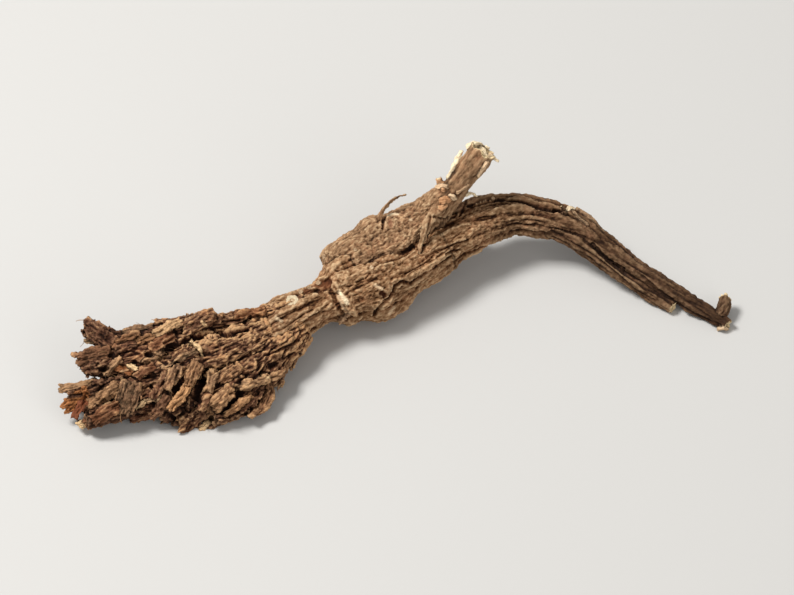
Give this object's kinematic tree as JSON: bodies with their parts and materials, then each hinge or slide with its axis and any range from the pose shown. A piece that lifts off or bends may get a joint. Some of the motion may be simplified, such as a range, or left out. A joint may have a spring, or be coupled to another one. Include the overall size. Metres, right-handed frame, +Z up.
{
  "type": "bupleurum root",
  "caption": "Whole dried root lying on its side, with a ragged crown of old leaf bases, a swollen body, a broken side branch and a taproot that splits near its tip.",
  "frame": {"origin": "on the surface that the root lies on, under the middle of its outline", "axes": "+X from the crown towards the root tips, +Z up from the surface"},
  "size_m": [0.1197, 0.0508, 0.0247],
  "materials": {
    "bark": "dull, dry, lengthwise wrinkled cork bark",
    "leaf_bases": "matt, weathered and fibrous, nearly black in the crevices",
    "broken_wood": "matt, pale, freshly broken and splintered"
  },
  "bodies": {
    "root": {"bupleurum_root": "bark"}
  },
  "joints": []
}
